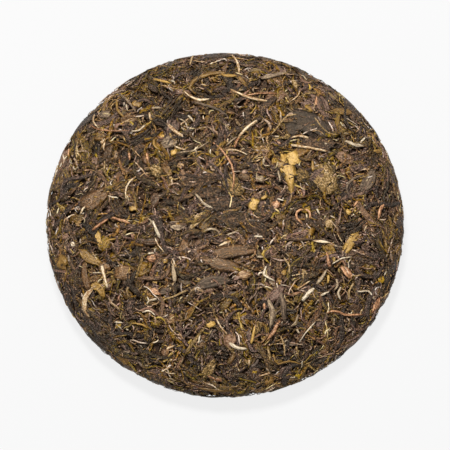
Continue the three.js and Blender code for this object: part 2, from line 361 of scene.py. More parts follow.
def rolled_leaf(draw, sides=8, rings=8, crease=0.42, ends=(0.35, 0.25)):
    """A leaf rolled into a strip: creased along its length, and drawn in at both ends."""
    shape = rounded_bar(sides, rings)
    margin = shape.verts.layers.float.new("edge")
    creases = 1 + draw.uniform(-crease, crease / 2, sides)
    creases[::2] -= crease / 2
    stray = draw.normal(0, 0.1, (rings + 1, sides))
    for vert in shape.verts:
        ring = round((vert.co.y + 0.5) * rings)
        side = round(math.atan2(vert.co.z, vert.co.x) / TURN * sides) % sides
        end = ends[0] if vert.co.y < 0 else ends[1]
        taper = end + (1 - end) * (1 - abs(2 * vert.co.y) ** 3)
        size = taper * (creases[side] + stray[ring, side])
        vert.co.x *= size
        vert.co.z *= size
        # Marks the leaf's two edges for the painted golden highlight.
        vert[margin] = 1 if side == 0 else SECOND_EDGE if side == sides // 2 else 0
    return shape


def open_leaf(draw, columns=4, rings=7, fold=0.3, notch=0.08, tip=0.22, widest=(0.6, 1.1)):
    """A piece of open leaf: a thin wavy plate with a leaf's outline, a fold and ragged edges."""
    shape = bmesh.new()
    bmesh.ops.create_grid(shape, x_segments=columns, y_segments=rings, size=0.5)
    margin = shape.verts.layers.float.new("edge")
    bulge = draw.uniform(*widest)
    ragged = draw.uniform(1 - notch, 1 + notch, (rings + 1, 2))
    waves = draw.uniform(0, TURN, 3)
    wave_rise, edge_sway, sheet = 0.22, 0.04, 0.25
    for vert in shape.verts:
        ring = round((vert.co.y + 0.5) * rings)
        along = vert.co.y + 0.5
        outline = tip + (1 - tip) * math.sin(math.pi * along ** bulge)
        edge = ragged[ring, 0 if vert.co.x < 0 else 1]
        x = vert.co.x
        # Marks the midrib for the painted golden highlight.
        vert[margin] = MIDRIB_EDGE if abs(x) < 0.1 else 0
        wave = math.sin(5 * along + waves[0]) * math.cos(6 * x + waves[1])
        vert.co.z = fold * (abs(x) - 0.25) + wave_rise * wave
        vert.co.x = x * outline * edge
        vert.co.y += edge_sway * math.sin(9 * x + waves[2])
    bmesh.ops.recalc_face_normals(shape, faces=shape.faces)
    bmesh.ops.solidify(shape, geom=shape.verts[:] + shape.edges[:] + shape.faces[:], thickness=sheet)
    bmesh.ops.recalc_face_normals(shape, faces=shape.faces)
    return shape


def crumb(draw):
    """A broken bit of leaf: a few flat facets."""
    shape = bmesh.new()
    bmesh.ops.create_icosphere(shape, subdivisions=1, radius=0.5)
    shape.verts.layers.float.new("edge")
    for vert in shape.verts:
        vert.co *= draw.uniform(0.65, 1.15)
    return shape


def template_arrays(shape):
    """A leaf model as arrays: corners, faces, the place of each corner on the leaf, and the leaf's edges."""
    shape.verts.index_update()
    corners = np.array([vert.co[:] for vert in shape.verts])
    margin = shape.verts.layers.float["edge"]
    edges = np.array([vert[margin] for vert in shape.verts])
    loops = []
    places = []
    starts = []
    for face in shape.faces:
        starts.append(len(loops))
        middle = face.calc_center_median()
        turned = math.atan2(middle.z, middle.x) / TURN
        for vert in face.verts:
            around = math.atan2(vert.co.z, vert.co.x) / TURN
            around += round(turned - around)
            loops.append(vert.index)
            places.append((around, vert.co.y + 0.5))
    shape.free()
    return corners, np.array(loops), np.array(starts), np.array(places), edges


model_draw = np.random.default_rng(11)


def leaf_models(count, shape, **looks):
    """A few versions of one kind of leaf, all drawn from the same seed."""
    return [template_arrays(shape(model_draw, **looks)) for _ in range(count)]


# Laying leaves on the cake

# The way round a leaf in widths, and the ripples along one.
WAY_ROUND = 3.0
RIPPLES = 1.3


def spread(draw, count, back):
    """Evenly scattered places on the plan of one side, out to just over the rim."""
    edge = np.interp(RIM_ALONG, section_along, section_area)
    total = section_area[-1] - edge if back else edge
    share = (np.arange(count) + draw.uniform(0, 1, count)) / count * total
    if back:
        reach = WHOLE_ALONG - np.interp(section_area[-1] - share, section_area, section_along)
    else:
        reach = np.interp(share, section_area, section_along)
    golden = math.pi * (3 - math.sqrt(5))
    azimuth = golden * np.arange(count) + draw.uniform(0, 0.5, count)
    return np.stack([reach * np.cos(azimuth), reach * np.sin(azimuth)], axis=-1)


def drift(plan, span, layer):
    """A slow wandering value over the plan, between about -1 and 1."""
    return np.array([noise.noise(Vector((x / span, y / span, layer))) for x, y in plan])


def headings(draw, plan, back, loose):
    """Bundles of leaves point roughly one way, and at the rim they follow the edge."""
    flow = drift(plan, FLOW_SPAN, BACK_FLOW_LAYER if back else FACE_FLOW_LAYER)
    heading = FLOW_TURN * flow + draw.normal(0, loose, len(plan)) + draw.choice([0, math.pi], len(plan))
    reach = np.hypot(plan[:, 0], plan[:, 1])
    rim = RIM_ALONG if not back else WHOLE_ALONG - RIM_ALONG
    pull = RIM_PULL * np.clip((reach / rim - PULL_START) / PULL_FADE, 0, 1)
    tangent = np.stack([-plan[:, 1], plan[:, 0]], axis=-1) / np.maximum(reach, 1e-3)[:, None]
    own = np.stack([np.cos(heading), np.sin(heading)], axis=-1)
    side = np.sign(np.sum(own * tangent, axis=-1, keepdims=True))
    mixed = own + tangent * side * pull[:, None]
    return np.arctan2(mixed[:, 1], mixed[:, 0])


def winding_paths(draw, plan, heading, length, bend, wave, rings):
    """Centre lines that bend one way and wander, one for each leaf."""
    count = len(plan)
    along = np.linspace(-0.5, 0.5, rings + 1)
    turn = draw.normal(0, bend, (count, 1)) * along
    waves = draw.uniform(0.6, 1.4, (count, 1)) * along
    wander = wave * np.sin(TURN * (waves + draw.uniform(0, 1, (count, 1))))
    angle = heading[:, None] + turn + wander
    middle = (angle[:, 1:] + angle[:, :-1]) / 2
    steps = np.stack([np.cos(middle), np.sin(middle)], axis=-1) * (length / rings)[:, None, None]
    path = np.concatenate([np.zeros((count, 1, 2)), np.cumsum(steps, axis=1)], axis=1)
    path += (plan - path[:, rings // 2])[:, None, :]
    return path, angle


class LeafPile:
    """Collects bent copies of leaf models and joins them into one mesh."""

    def __init__(self, name, material):
        self.name = name
        self.material = material
        self.corners = []
        self.loops = []
        self.starts = []
        self.grain = []
        self.values = {"tone": [], "light": [], "warmth": [], "edge": []}
        self.n_corners = 0
        self.n_loops = 0

    def lay(self, draw, template, path, angle, size, lift, roll, tone, light, warmth,
            back=False, dip=0.6, ripple=0.2):
        """Bends a copy of the model along each path: size is its length, width and thickness."""
        corners, loops, starts, places, edges = template
        count, rings = path.shape[0], path.shape[1] - 1
        length, width, thick = (np.broadcast_to(part, count)[:, None] for part in size)
        place = (corners[:, 1] + 0.5) * rings
        ring = np.clip(np.floor(place).astype(int), 0, rings - 1)
        part = (place - ring)[None, :]
        spot = path[:, ring] * (1 - part[..., None]) + path[:, ring + 1] * part[..., None]
        aim = angle[:, ring] * (1 - part) + angle[:, ring + 1] * part
        along = corners[:, 1][None, :]
        spin = roll[0][:, None] + roll[1][:, None] * along
        x = (corners[:, 0] * np.cos(spin) - corners[:, 2] * np.sin(spin)) * width
        z = (corners[:, 0] * np.sin(spin) + corners[:, 2] * np.cos(spin)) * thick
        phase = draw.uniform(0, TURN, (count, 1))
        rise = lift[:, None] + ripple * np.sin(TURN * RIPPLES * along + phase) - dip * np.abs(2 * along) ** 3
        plan = spot + np.stack([-np.sin(aim), np.cos(aim)], axis=-1) * -x[..., None]
        wrapped = on_cake(plan, pressed(plan, rise + z), back)
        self.corners.append(wrapped.reshape(-1, 3))
        shift = (np.arange(count) * len(corners))[:, None]
        self.loops.append((loops[None, :] + shift + self.n_corners).ravel())
        loop_shift = (np.arange(count) * len(loops))[:, None]
        self.starts.append((starts[None, :] + loop_shift + self.n_loops).ravel())
        scale = np.stack([WAY_ROUND * width[:, 0], length[:, 0]], axis=-1)[:, None, :]
        offset = draw.uniform(0, 400, (count, 1, 2))
        self.grain.append((places[None] * scale + offset).reshape(-1, 2))
        for name, values in (("tone", tone), ("light", light), ("warmth", warmth)):
            self.values[name].append(np.repeat(values, len(corners)))
        self.values["edge"].append(np.tile(edges, count))
        self.n_corners += count * len(corners)
        self.n_loops += count * len(loops)

    def build(self, smooth=True):
        corners = np.concatenate(self.corners) * MM
        loops = np.concatenate(self.loops)
        starts = np.concatenate(self.starts)
        mesh = bpy.data.meshes.new(self.name)
        mesh.vertices.add(len(corners))
        mesh.loops.add(len(loops))
        mesh.polygons.add(len(starts))
        mesh.vertices.foreach_set("co", corners.ravel())
        mesh.loops.foreach_set("vertex_index", loops)
        mesh.polygons.foreach_set("loop_start", starts)
        mesh.polygons.foreach_set("use_smooth", np.full(len(starts), smooth))
        mesh.update(calc_edges=True)
        grain = mesh.uv_layers.new(name="grain")
        grain.data.foreach_set("uv", np.concatenate(self.grain).ravel())
        for name, values in self.values.items():
            layer = mesh.attributes.new(name, "FLOAT", "POINT")
            layer.data.foreach_set("value", np.concatenate(values))
        mesh.materials.append(self.material)
        return add_piece(self.name, mesh)


def pressed(plan, rise):
    """The mould has pressed the leaves together, flattest of all in the middle and round the rim."""
    reach = np.hypot(plan[..., 0], plan[..., 1])
    near_rim = np.clip((reach / RIM_ALONG - RIM_START) / RIM_FADE, 0, 1)
    off_middle = np.clip((reach - MIDDLE_REACH) / MIDDLE_FADE, 0, 1)
    relief = MIDDLE_RELIEF + (1 - MIDDLE_RELIEF) * off_middle - RIM_RELIEF_LOSS * near_rim
    middle = PRESSED_LEVEL + RIM_LEVEL_GAIN * near_rim
    level = middle + (rise - middle) * relief
    ceiling = LEAF_PROUD + LOOSE_ROOM * np.clip((relief - LOOSE_FROM) / (1 - LOOSE_FROM), 0, 1)
    return level - PRESSED_EDGE * np.logaddexp(0, (level - ceiling) / PRESSED_EDGE)


def add_piece(name, mesh):
    piece = bpy.data.objects.new(name, mesh)
    bpy.context.scene.collection.objects.link(piece)
    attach(piece, "root")
    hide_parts("tea_cake")
    return piece


def scatter(pile, seed, models, count, on_back, length, width, thick, lift, bend=0.6, wave=0.35,
            turns=1.0, tone=(0.15, 0.8), light=(0.85, 1.1), loose=0.8, dip=0.6, ripple=0.2, spin=TURN,
            in_middle=1.0, rings=8):
    """Lays many leaves of one kind over both sides of the cake."""
    draw = np.random.default_rng(seed)
    for back, number in ((False, count - on_back), (True, on_back)):
        plans = spread(draw, number, back)
        reach = np.hypot(plans[:, 0], plans[:, 1])
        kept = (reach > THIN_REACH) | (draw.uniform(0, 1, number) < in_middle)
        plans = draw.permutation(plans[kept])
        for plan, model in zip(np.array_split(plans, len(models)), models):
            n = len(plan)
            reach = np.hypot(plan[:, 0], plan[:, 1])
            mood = drift(plan, MOOD_SPAN, MOOD_LAYER)
            near_rim = np.clip((reach / RIM_ALONG - SHADE_START) / (1 - SHADE_START), 0, 1)
            in_press = np.clip((ALIKE_REACH - reach) / ALIKE_FADE, 0, 1)
            long = draw.uniform(*length, n) * draw.uniform(0.7, 1.0, n)
            heading = headings(draw, plan, back, loose)
            path, angle = winding_paths(draw, plan, heading, long, bend, wave, rings)
            shade = 1 + MOOD_LIGHT * mood
            # Painted shade darkens leaves towards the rim; leaves in the middle are made a little lighter.
            rim_shade_and_middle_lightening = 1 - RIM_SHADE * near_rim + MIDDLE_LIGHTENING * in_press
            pile.lay(
                draw, model, path, angle,
                size=(long, draw.uniform(*width, n), draw.uniform(*thick, n)),
                lift=draw.uniform(*lift, n),
                roll=(draw.uniform(-spin / 2, spin / 2, n), draw.normal(0, turns * TURN, n)),
                tone=0.5 + (draw.uniform(*tone, n) + MOOD_TONE * mood - 0.5) * (1 - ALIKE_SHARE * in_press),
                light=draw.uniform(*light, n) * shade * rim_shade_and_middle_lightening,
                warmth=draw.uniform(-1, 1, n) - MIDDLE_CHILL * in_press, back=back, dip=dip, ripple=ripple)


# Leaves that the photograph shows

def line_through(pixels, rings):
    """A smooth line through pixels of the photograph: its points on the plan, and its heading at each."""
    knots = np.array([photo_to_plan(x, y) for x, y in pixels])
    along = np.concatenate([[0], np.cumsum(np.hypot(*np.diff(knots, axis=0).T))])
    slopes = np.gradient(knots, along, axis=0)
    places = np.linspace(0, along[-1], rings + 1)
    knot = np.clip(np.searchsorted(along, places, side="right") - 1, 0, len(along) - 2)
    gap = (along[knot + 1] - along[knot])[:, None]
    t = (places - along[knot])[:, None] / gap
    path = ((2 * t ** 3 - 3 * t ** 2 + 1) * knots[knot] + (t ** 3 - 2 * t ** 2 + t) * gap * slopes[knot]
            + (3 * t ** 2 - 2 * t ** 3) * knots[knot + 1] + (t ** 3 - t ** 2) * gap * slopes[knot + 1])
    step = np.gradient(path, axis=0)
    return path, np.unwrap(np.arctan2(step[:, 1], step[:, 0])), along[-1]


def lay_seen(pile, draw, model, pixels, width, tone, light, lift, thick, rings=8):
    """Lays one leaf along a line of pixels; its width is in pixels too."""
    path, angle, length = line_through(pixels, rings)
    pile.lay(
        draw, model, path[None], angle[None], size=(length, width * MM_PER_PIXEL, thick),
        lift=np.array([lift]), roll=(draw.uniform(-0.3, 0.3, 1), draw.normal(0, 0.3, 1)),
        tone=np.array([tone]), light=np.array([light]), warmth=np.zeros(1), dip=0.5, ripple=0.1)


def lay_bundle(pile, draw, models, pixels, width, strands, tone, light, lift, rings=8):
    """Lays strands side by side along a line of pixels, as a twist that has come apart."""
    path, angle, length = line_through(pixels, rings)
    whole = np.linspace(0, 1, rings + 1)
    side = np.stack([-np.sin(angle), np.cos(angle)], axis=-1)
    for strand in range(strands):
        start = draw.uniform(0, 0.35)
        part = np.linspace(start, start + draw.uniform(0.5, 0.65), rings + 1)
        offset = ((strand + 0.5) / strands - 0.5) * width * MM_PER_PIXEL
        moved = path + side * (offset + 0.5 * np.sin(TURN * (whole + draw.uniform()))[:, None])
        line = np.stack([np.interp(part, whole, moved[:, 0]), np.interp(part, whole, moved[:, 1])], axis=-1)
        strand_width = width * MM_PER_PIXEL / strands * draw.uniform(1.2, 1.7)
        pile.lay(
            draw, models[strand % len(models)], line[None], np.interp(part, whole, angle)[None],
            size=(length * 0.6, strand_width, strand_width * 0.7),
            lift=np.array([lift + draw.uniform(-0.3, 0.2)]),
            roll=(draw.uniform(0, TURN, 1), draw.normal(0, 3, 1)),
            tone=np.array([tone + draw.uniform(-0.15, 0.15)]),
            light=np.array([light * draw.uniform(0.85, 1.15)]),
            warmth=draw.normal(0, 0.4, 1))


# The bed of crumbs under the leaves

def make_bed(material):
    """The pressed body: its section turned about the cake's axis, with the relief of packed leaf."""
    rings, spokes = 130, 260
    coarse_size, coarse_rise = 5.0, 0.6
    fine_size, fine_rise = 1.6, 0.5
    shape = bmesh.new()
    along = np.linspace(0, WHOLE_ALONG, rings + 1)
    radius = np.interp(along, section_along, section_radius)
    level = np.interp(along, section_along, section_height)
    line = [shape.verts.new((r, 0, z)) for r, z in zip(radius, level)]
    edges = [shape.edges.new(pair) for pair in zip(line, line[1:])]
    bmesh.ops.spin(
        shape, geom=line + edges, cent=(0, 0, 0), axis=(0, 0, 1), angle=TURN,
        steps=spokes, use_merge=True)
    bmesh.ops.remove_doubles(shape, verts=shape.verts, dist=0.02)
    bmesh.ops.recalc_face_normals(shape, faces=shape.faces)
    shape.normal_update()
    for vert in shape.verts:
        coarse = noise.noise(vert.co / coarse_size)
        fine = noise.noise(vert.co / fine_size)
        near_rim = min(max((vert.co.xy.length / BODY_RADIUS - BED_RIM_START) / BED_RIM_FADE, 0), 1)
        depth = BED_DEPTH - (BED_DEPTH - RIM_BED_DEPTH) * near_rim
        vert.co += vert.normal * (coarse_rise * coarse + fine_rise * fine - depth)
        vert.co.z = max(vert.co.z, BED_FLOOR_GAP)
    bmesh.ops.scale(shape, verts=shape.verts, vec=(MM, MM, MM))
    mesh = bpy.data.meshes.new("crumb_bed")
    shape.to_mesh(mesh)
    shape.free()
    mesh.shade_smooth()
    mesh.materials.append(material)
    return add_piece("crumb_bed", mesh)


def bed_material():
    """Packed leaf dust and crumbs, seen only in the gaps: dark, matt and mottled."""
    material, tree, surface = new_material("packed_leaf_crumbs", 0.9, Specular_IOR_Level=0.2)
    place = add_node(tree, "ShaderNodeTexCoord").outputs["Object"]
    mottle = add_node(tree, "ShaderNodeTexNoise", {}, {
        "Vector": place, "Scale": 1 / (1.2 * MM), "Detail": 4.0, "Roughness": 0.7}).outputs["Fac"]
    colour = add_node(tree, "ShaderNodeValToRGB", {}, {"Fac": mottle}, [
        (0.3, "#1b110a"), (0.5, "#302115"), (0.62, "#453121"), (0.75, "#5f4830")]).outputs["Color"]
    tree.links.new(colour, surface.inputs["Base Color"])
    bump = add_node(tree, "ShaderNodeBump", {}, {
        "Height": mottle, "Distance": 0.4 * MM, "Strength": 1.0}).outputs["Normal"]
    tree.links.new(bump, surface.inputs["Normal"])
    return material


make_camera()
make_bed(bed_material())

twist_models = leaf_models(5, rolled_leaf)
strip_models = leaf_models(4, rolled_leaf, sides=6, rings=6)
stem_models = leaf_models(3, rolled_leaf, sides=5, rings=6, crease=0.15, ends=(0.8, 0.6))
bud_models = leaf_models(3, rolled_leaf, sides=5, rings=7, crease=0.2, ends=(0.55, 0.05))
shred_models = leaf_models(3, rolled_leaf, sides=3, rings=5, crease=0.2, ends=(0.4, 0.2))
blade_models = leaf_models(4, open_leaf)
patch_models = leaf_models(3, open_leaf, notch=0.15, tip=0.65)
point_models = leaf_models(2, open_leaf, tip=0.06, widest=(0.45, 0.6))
scrap_models = leaf_models(4, open_leaf, columns=3, rings=5, notch=0.45, tip=0.5)
crumb_models = leaf_models(4, crumb)

# Rolled leaves of raw tea, dried black-brown: a hard, wrinkled skin that shines a little on its ridges.
dark_twists = LeafPile("dark_twists", leaf_material("black_brown_rolled_leaf", [
    (0.0, "#0c0603"), (0.3, "#1b110a"), (0.55, "#2d1f15"), (0.8, "#473423"), (1.0, "#6e5439")]))
scatter(dark_twists, 21, twist_models, 1150, 340, (13, 36), (2.0, 4.8), (1.4, 2.4), (-0.9, 1.3),
        bend=1.1, wave=0.5, turns=0.6)

# Lighter rolled leaves, dried brown.
brown_twists = LeafPile("brown_twists", leaf_material("brown_rolled_leaf", [
    (0.0, "#1a0e06"), (0.3, "#311f0e"), (0.55, "#4a311a"), (0.8, "#654628"), (1.0, "#86643c")]))
scatter(brown_twists, 22, twist_models, 950, 290, (10, 27), (1.3, 3.0), (1.1, 2.0), (-0.9, 1.4),
        bend=1.2, wave=0.5)

# Strips of leaf that stayed olive to dull gold.
olive_strips = LeafPile("olive_strips", leaf_material("olive_gold_leaf", [
    (0.0, "#2c2009"), (0.3, "#4c3b17"), (0.55, "#6c5526"), (0.8, "#8a7040"), (1.0, "#a89067")]))
scatter(olive_strips, 23, strip_models, 700, 200, (6, 18), (0.9, 2.0), (0.8, 1.5), (-0.6, 1.4),
        bend=1.2, wave=0.4, in_middle=0.5)

# Dry tan stems, smooth and a little glossy.
stems = LeafPile("stems", leaf_material("dry_stem", [
    (0.0, "#4c3319"), (0.3, "#72522f"), (0.55, "#8f744c"), (0.8, "#b09a75"), (1.0, "#cabb9c")],
    roughness=0.45, depth=0.15, streaks=0.25, blotches=0.2))
scatter(stems, 24, stem_models, 640, 180, (4, 14), (0.5, 1.1), (0.7, 1.2), (0.0, 1.7),
        tone=(0, 0.9), bend=0.7, wave=0.25, in_middle=0.4)

# Buds and leaf tips with pale down.
buds = LeafPile("buds", leaf_material("downy_bud", [
    (0.0, "#5f4e38"), (0.35, "#817055"), (0.7, "#a4957a"), (1.0, "#ccc0a6")],
    roughness=0.6, depth=0.15, streaks=0.25, blotches=0.2))
scatter(buds, 25, bud_models, 560, 160, (2.5, 8), (0.6, 1.2), (0.7, 1.1), (0.2, 1.8),
        bend=1.3, wave=0.5, tone=(0, 0.8), in_middle=0.5)

# Open leaf blades, pressed flat: brown to olive.
blades = LeafPile("open_leaves", leaf_material("open_leaf_blade", [
    (0.0, "#1f1208"), (0.3, "#382510"), (0.55, "#50381d"), (0.8, "#664a2a"), (1.0, "#7c603a")],
    fibre=1.0, depth=0.4, streaks=0.2, blotches=0.15))
scatter(blades, 26, blade_models, 420, 130, (6, 15), (2.5, 7), (1.2, 2.2), (-0.7, 1.2),
        bend=0.3, wave=0.1, turns=0.0, spin=1.0)

# Leaves that yellowed before they dried.
yellow_leaves = LeafPile("yellow_leaves", leaf_material("yellowed_leaf", [
    (0.0, "#4a3513"), (0.4, "#705623"), (0.75, "#927433"), (1.0, "#b0914b")],
    fibre=1.0, depth=0.25, streaks=0.15, blotches=0.12))
scatter(yellow_leaves, 29, blade_models, 70, 22, (3, 8), (1.6, 3.4), (1.0, 1.6), (0.3, 1.0),
        bend=0.5, wave=0.3, turns=0.0, tone=(0.2, 0.8), spin=1.0, in_middle=0.3)

# Stems and leaf bits that dried rusty.
russet_stems = LeafPile("russet_stems", leaf_material("russet_stem", [
    (0.0, "#3a2413"), (0.4, "#664327"), (0.75, "#8c6440"), (1.0, "#b28a62")],
    depth=0.2, streaks=0.3, blotches=0.25))
scatter(russet_stems, 30, strip_models, 160, 45, (3, 12), (0.8, 2.0), (0.8, 1.3), (0.0, 1.0),
        bend=0.5, tone=(0, 0.7), in_middle=0.4)

# Leaves with a grey bloom.
grey_leaves = LeafPile("grey_leaves", leaf_material("grey_bloomed_leaf", [
    (0.0, "#1e1711"), (0.35, "#423529"), (0.7, "#6c5b47"), (1.0, "#9c8a6b")],
    roughness=0.6, fibre=1.0, depth=0.35, streaks=0.2, blotches=0.15))
scatter(grey_leaves, 31, strip_models, 200, 50, (6, 14), (1.2, 3.0), (0.9, 1.5), (-0.4, 0.8), tone=(0, 0.6))

# Shreds and crumbs that broke off and lie between the leaves.
shreds = LeafPile("shreds", leaf_material("broken_leaf_crumbs", [
    (0.0, "#1a0e06"), (0.35, "#372314"), (0.6, "#553b25"), (0.85, "#7a5b3e"), (1.0, "#a88b66")],
    roughness=0.6, fibre=0.7, depth=0.2, streaks=0.4, blotches=0.4))
scatter(shreds, 27, shred_models, 4600, 1300, (3, 10), (0.35, 0.8), (0.5, 1.0), (-0.2, 1.8),
        tone=(0, 1.1), bend=1.2, wave=0.5, rings=5)

crumbs = LeafPile("crumbs", shreds.material)
scatter(crumbs, 28, crumb_models, 6000, 1700, (0.7, 1.9), (0.6, 1.2), (0.6, 1.2), (0.0, 1.7), tone=(0, 1.1),
        dip=0.0, rings=2)

